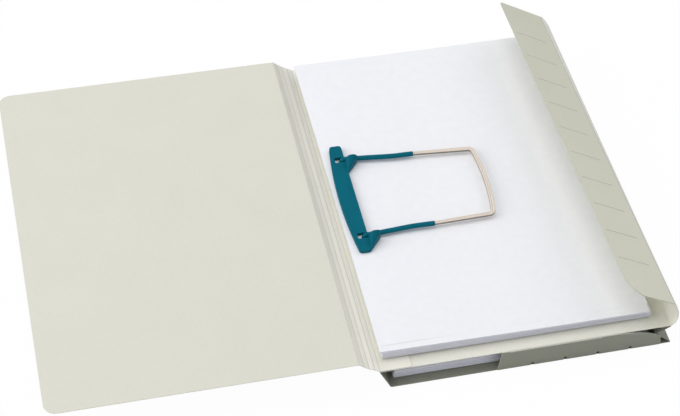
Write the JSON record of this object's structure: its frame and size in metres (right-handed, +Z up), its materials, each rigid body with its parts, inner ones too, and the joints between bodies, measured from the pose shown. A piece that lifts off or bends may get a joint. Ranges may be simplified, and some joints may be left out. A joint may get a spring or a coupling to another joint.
{
  "type": "flap folder",
  "caption": "Open card filing folder with creased spine, raised closing flap, rear pocket with folded gusset and a two-prong paper clip that holds punched sheets",
  "frame": {"origin": "middle of the back cover's underside, on the table", "axes": "+X from the spine towards the closing flap, +Y along the spine away from the viewer, +Z up"},
  "size_m": [0.4769, 0.3191, 0.0732],
  "materials": {
    "card": "matte uncoated grey-green filing card",
    "pocket_card": "matte uncoated filing card",
    "paper": "plain white office paper",
    "teal_plastic": "smooth moulded plastic",
    "cream_plastic": "satin moulded plastic"
  },
  "bodies": {
    "pocket": {"back_cover": "pocket_card", "pocket_wall": "pocket_card"},
    "loose_papers": {"loose_papers": "paper"},
    "bottom_flap": {"bottom_flap": "pocket_card"},
    "gusset_lower": {"gusset_lower": "pocket_card"},
    "panel": {"clip_panel": "card", "spine_flange": "card", "pocket_wall_tab": "pocket_card", "gusset_tab": "pocket_card", "clip_base": "teal_plastic", "tube_root_1": "teal_plastic", "tube_root_2": "teal_plastic", "compressor_bar": "teal_plastic", "filed_papers": "paper", "top_sheet": "paper"},
    "gusset_upper": {"gusset_upper": "pocket_card"},
    "spine_1": {"spine_strip_1": "card"},
    "spine_2": {"spine_strip_2": "card"},
    "spine_3": {"spine_strip_3": "card"},
    "spine_4": {"spine_strip_4": "card"},
    "cover": {"front_cover": "card"},
    "side_wall": {"side_wall": "card"},
    "flap": {"closing_flap": "card"},
    "clip_arms": {"tube_arm_1": "teal_plastic", "tube_arm_2": "teal_plastic"},
    "bow": {"u_bow": "cream_plastic"}
  },
  "joints": [
    {"name": "pocket_open", "type": "hinge", "parent": "pocket", "child": "panel", "pos_m": [-0.12015, 0, 0.02045], "axis": [0, 1, 0], "range_deg": [-2, 0]},
    {"name": "gusset_upper_fold", "type": "hinge", "parent": "panel", "child": "gusset_upper", "pos_m": [0.10765, 0, 0.02045], "axis": [0, 1, 0], "range_deg": [-27, 0]},
    {"name": "gusset_lower_fold", "type": "hinge", "parent": "pocket", "child": "gusset_lower", "pos_m": [0.11065, 0, 0.00025], "axis": [0, 1, 0], "range_deg": [0, 18.1]},
    {"name": "spine_fold_1", "type": "hinge", "parent": "panel", "child": "spine_1", "pos_m": [-0.12035, 0, 0.02205], "axis": [0, 1, 0], "range_deg": [0, 35]},
    {"name": "spine_fold_2", "type": "hinge", "parent": "spine_1", "child": "spine_2", "pos_m": [-0.12458, 0, 0.0249], "axis": [0, 1, 0], "range_deg": [0, 15]},
    {"name": "spine_fold_3", "type": "hinge", "parent": "spine_2", "child": "spine_3", "pos_m": [-0.1289, 0, 0.0276], "axis": [0, 1, 0], "range_deg": [0, 15]},
    {"name": "spine_fold_4", "type": "hinge", "parent": "spine_3", "child": "spine_4", "pos_m": [-0.13292, 0, 0.03074], "axis": [0, 1, 0], "range_deg": [0, 10]},
    {"name": "cover_fold", "type": "hinge", "parent": "spine_4", "child": "cover", "pos_m": [-0.13659, 0, 0.03429], "axis": [0, 1, 0], "range_deg": [0, 93]},
    {"name": "side_wall_fold", "type": "hinge", "parent": "panel", "child": "side_wall", "pos_m": [0.10765, 0, 0.02125], "axis": [0, 1, 0], "range_deg": [-10, 95]},
    {"name": "flap_fold", "type": "hinge", "parent": "side_wall", "child": "flap", "pos_m": [0.10105, 0, 0.04835], "axis": [-0.0251, 0.9997, 0], "range_deg": [-35, 48]},
    {"name": "bottom_flap_fold", "type": "hinge", "parent": "pocket", "child": "bottom_flap", "pos_m": [0.03695, -0.1598, 0.00025], "axis": [1, 0, 0], "range_deg": [0, 90]},
    {"name": "clip_lift", "type": "hinge", "parent": "panel", "child": "clip_arms", "pos_m": [-0.10515, -0.0012, 0.03665], "axis": [0, 1, 0], "range_deg": [-90, 0]},
    {"name": "bow_slide", "type": "slide", "parent": "clip_arms", "child": "bow", "axis": [0.9998, -0.0192, 0], "range_m": [0, 0.013]},
    {"name": "loose_slide", "type": "slide", "parent": "pocket", "child": "loose_papers", "axis": [0, 1, 0], "range_m": [0, 0.29]}
  ],
  "couplings": [
    {"joint": "gusset_upper_fold", "follows": "pocket_open", "ratio": 13.45},
    {"joint": "gusset_lower_fold", "follows": "pocket_open", "ratio": -9}
  ]
}
